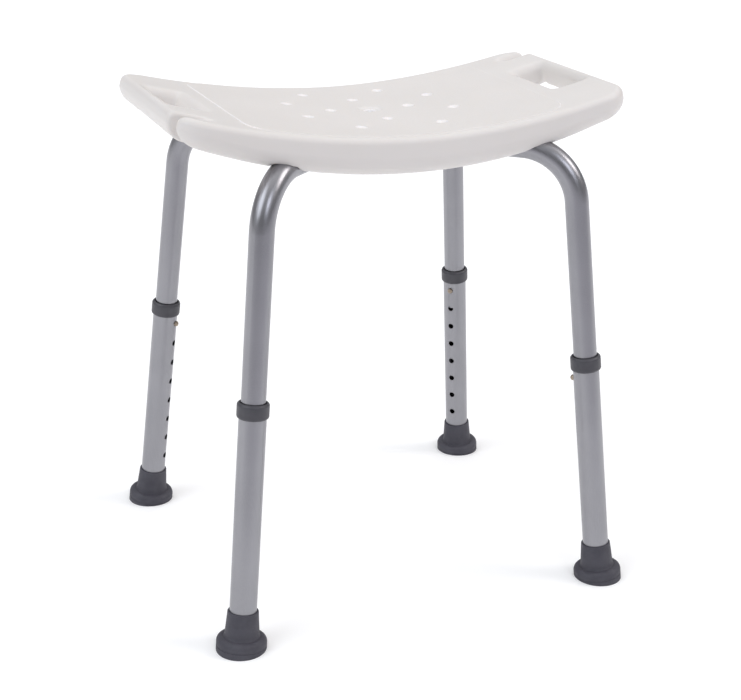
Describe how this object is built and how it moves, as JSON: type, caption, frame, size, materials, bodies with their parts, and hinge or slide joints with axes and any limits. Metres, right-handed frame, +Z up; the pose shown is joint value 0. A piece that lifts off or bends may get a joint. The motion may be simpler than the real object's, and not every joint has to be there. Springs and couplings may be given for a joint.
{
  "type": "shower stool",
  "caption": "Bath and shower stool with a curved moulded seat, hand slots and drain holes, on crossed tubes with telescoping button-locked legs and rubber feet.",
  "frame": {"origin": "on the floor under the middle of the seat", "axes": "+X along the seat's length, -Y to the front, +Z up"},
  "size_m": [0.499, 0.4284, 0.5486],
  "materials": {
    "seat_plastic": "fine moulded texture, off-white",
    "anodised_tube": "satin anodised",
    "grey_collar": "matt",
    "grey_rubber": "matt",
    "steel": "plain",
    "button_steel": "worn nickel",
    "brass": "turned",
    "saddle_plastic": "matt"
  },
  "bodies": {
    "frame": {"seat": "seat_plastic", "frame_tube_a": "anodised_tube", "frame_tube_b": "anodised_tube", "centre_bolt": "steel", "centre_washer": "steel", "centre_nut": "steel", "seat_screws": "steel", "saddle_washers": "saddle_plastic", "seat_inserts": "brass", "button_spring_front_left": "steel", "button_spring_front_right": "steel", "button_spring_back_left": "steel", "button_spring_back_right": "steel"},
    "leg_front_left": {"leg_tube_front_left": "anodised_tube", "collar_front_left": "grey_collar", "foot_front_left": "grey_rubber", "foot_disc_front_left": "steel"},
    "leg_front_right": {"leg_tube_front_right": "anodised_tube", "collar_front_right": "grey_collar", "foot_front_right": "grey_rubber", "foot_disc_front_right": "steel"},
    "leg_back_left": {"leg_tube_back_left": "anodised_tube", "collar_back_left": "grey_collar", "foot_back_left": "grey_rubber", "foot_disc_back_left": "steel"},
    "leg_back_right": {"leg_tube_back_right": "anodised_tube", "collar_back_right": "grey_collar", "foot_back_right": "grey_rubber", "foot_disc_back_right": "steel"},
    "button_front_left": {"snap_button_front_left": "button_steel"},
    "button_front_right": {"snap_button_front_right": "button_steel"},
    "button_back_left": {"snap_button_back_left": "button_steel"},
    "button_back_right": {"snap_button_back_right": "button_steel"}
  },
  "joints": [
    {"name": "leg_slide_front_left", "type": "slide", "parent": "frame", "child": "leg_front_left", "axis": [0.0891, 0.078, 0.993], "range_m": [0, 0.1778], "deforming": ["snap_button_front_left", "button_spring_front_left"]},
    {"name": "leg_slide_front_right", "type": "slide", "parent": "frame", "child": "leg_front_right", "axis": [-0.0891, 0.078, 0.993], "range_m": [0, 0.1778], "deforming": ["snap_button_front_right", "button_spring_front_right"]},
    {"name": "leg_slide_back_left", "type": "slide", "parent": "frame", "child": "leg_back_left", "axis": [0.0891, -0.078, 0.993], "range_m": [0, 0.1778], "deforming": ["snap_button_back_left", "button_spring_back_left"]},
    {"name": "leg_slide_back_right", "type": "slide", "parent": "frame", "child": "leg_back_right", "axis": [-0.0891, -0.078, 0.993], "range_m": [0, 0.1778], "deforming": ["snap_button_back_right", "button_spring_back_right"]},
    {"name": "button_press_front_left", "type": "slide", "parent": "frame", "child": "button_front_left", "axis": [-0.7471, -0.6541, 0.1184], "range_m": [0, 0.0052], "stiffness_N_per_m": 2500, "springref_m": -0.004, "deforming": ["button_spring_front_left"]},
    {"name": "button_press_front_right", "type": "slide", "parent": "frame", "child": "button_front_right", "axis": [0.7471, -0.6541, 0.1184], "range_m": [0, 0.0052], "stiffness_N_per_m": 2500, "springref_m": -0.004, "deforming": ["button_spring_front_right"]},
    {"name": "button_press_back_left", "type": "slide", "parent": "frame", "child": "button_back_left", "axis": [-0.7471, 0.6541, 0.1184], "range_m": [0, 0.0052], "stiffness_N_per_m": 2500, "springref_m": -0.004, "deforming": ["button_spring_back_left"]},
    {"name": "button_press_back_right", "type": "slide", "parent": "frame", "child": "button_back_right", "axis": [0.7471, 0.6541, 0.1184], "range_m": [0, 0.0052], "stiffness_N_per_m": 2500, "springref_m": -0.004, "deforming": ["button_spring_back_right"]}
  ]
}
